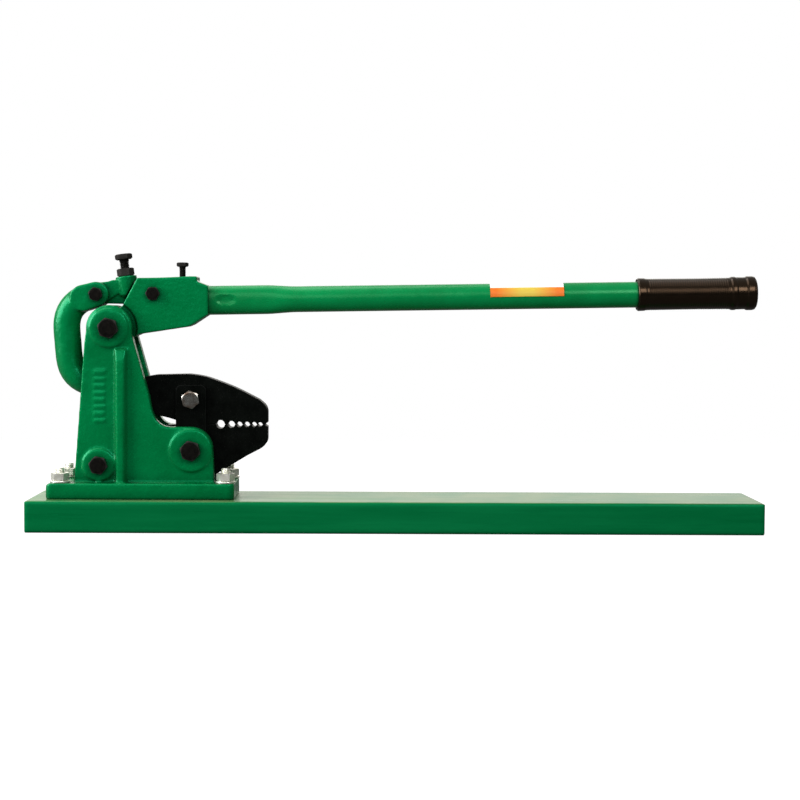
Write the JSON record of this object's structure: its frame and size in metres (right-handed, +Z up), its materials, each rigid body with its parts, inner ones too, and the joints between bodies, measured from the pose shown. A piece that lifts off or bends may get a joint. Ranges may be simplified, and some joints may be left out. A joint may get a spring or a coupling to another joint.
{
  "type": "bench swager",
  "caption": "Lever-operated bench press that closes a pair of jaws on wire rope sleeves, bolted to a wooden bench board.",
  "frame": {"origin": "centre of the underside of the bench board, which is the bottom centre of the whole tool at rest", "axes": "+X along the board towards the hand grip, +Y across it away from the operator, +Z up"},
  "size_m": [0.76, 0.11, 0.288],
  "materials": {
    "green_paint": "glossy green enamel over cast and forged steel, with a slight cast texture",
    "board_paint": "satin green paint on softwood, the grain showing through, worn pale on top",
    "jaw_steel": "black oxide on forged steel, satin",
    "black_steel": "black oxide hexagon fasteners, satin",
    "zinc": "bright zinc plate",
    "bright_steel": "bare machined steel, bright",
    "grip_rubber": "black ribbed rubber, satin",
    "label_film": "printed film in an orange and yellow gradient with a white strip, no wording"
  },
  "bodies": {
    "bench": {"base_board": "board_paint", "base_bolt_front_left": "zinc", "base_washer_front_left": "zinc", "base_nut_front_left": "zinc", "base_bolt_rear_left": "zinc", "base_washer_rear_left": "zinc", "base_nut_rear_left": "zinc", "base_bolt_front_right": "zinc", "base_washer_front_right": "zinc", "base_nut_front_right": "zinc", "base_bolt_rear_right": "zinc", "base_washer_rear_right": "zinc", "base_nut_rear_right": "zinc", "rear_side_casting": "green_paint", "front_side_casting": "green_paint", "lower_jaw": "jaw_steel", "rear_jaw_plate": "jaw_steel", "front_jaw_plate": "jaw_steel", "handle_pivot_bush": "bright_steel", "handle_pivot_bolt": "black_steel", "handle_pivot_bolt_nut": "black_steel", "lower_jaw_bolt": "black_steel", "lower_jaw_bolt_nut": "black_steel", "rear_tie_bolt": "black_steel", "rear_tie_bolt_nut": "black_steel", "jaw_pivot_bush": "bright_steel", "jaw_pivot_bolt": "bright_steel", "jaw_pivot_bolt_nut": "bright_steel"},
    "handle": {"handle_head": "green_paint", "handle_tube": "green_paint", "handle_grip": "grip_rubber", "handle_label": "label_film", "clamp_screw": "black_steel", "adjusting_lever": "green_paint", "lever_bolt": "black_steel", "lever_bolt_nut": "black_steel", "adjusting_lock_nut": "black_steel"},
    "adjuster": {"adjusting_screw": "black_steel"},
    "link": {"hook_link": "green_paint", "link_bolt": "black_steel", "link_bolt_nut": "black_steel"},
    "jaw": {"upper_jaw": "jaw_steel", "link_pin": "bright_steel"}
  },
  "joints": [
    {"name": "handle_swing", "type": "hinge", "parent": "bench", "child": "handle", "pos_m": [-0.297, 0, 0.2096], "axis": [0, -1, 0], "range_deg": [0, 60]},
    {"name": "link_swing", "type": "hinge", "parent": "handle", "child": "link", "pos_m": [-0.3125, 0, 0.2445], "axis": [0, -1, 0], "range_deg": [-45.1, 0]},
    {"name": "jaw_swing", "type": "hinge", "parent": "bench", "child": "jaw", "pos_m": [-0.214, 0, 0.1355], "axis": [0, -1, 0], "range_deg": [0, 15.4]},
    {"name": "adjusting_screw_turn", "type": "hinge", "parent": "handle", "child": "adjuster", "pos_m": [-0.283, 0, 0.2635], "axis": [-0.1271, 0, 0.9919], "range_deg": [-180, 180]}
  ],
  "couplings": [
    {"joint": "link_swing", "follows": "handle_swing", "ratio": -0.7504},
    {"joint": "jaw_swing", "follows": "handle_swing", "ratio": 0.2554}
  ]
}
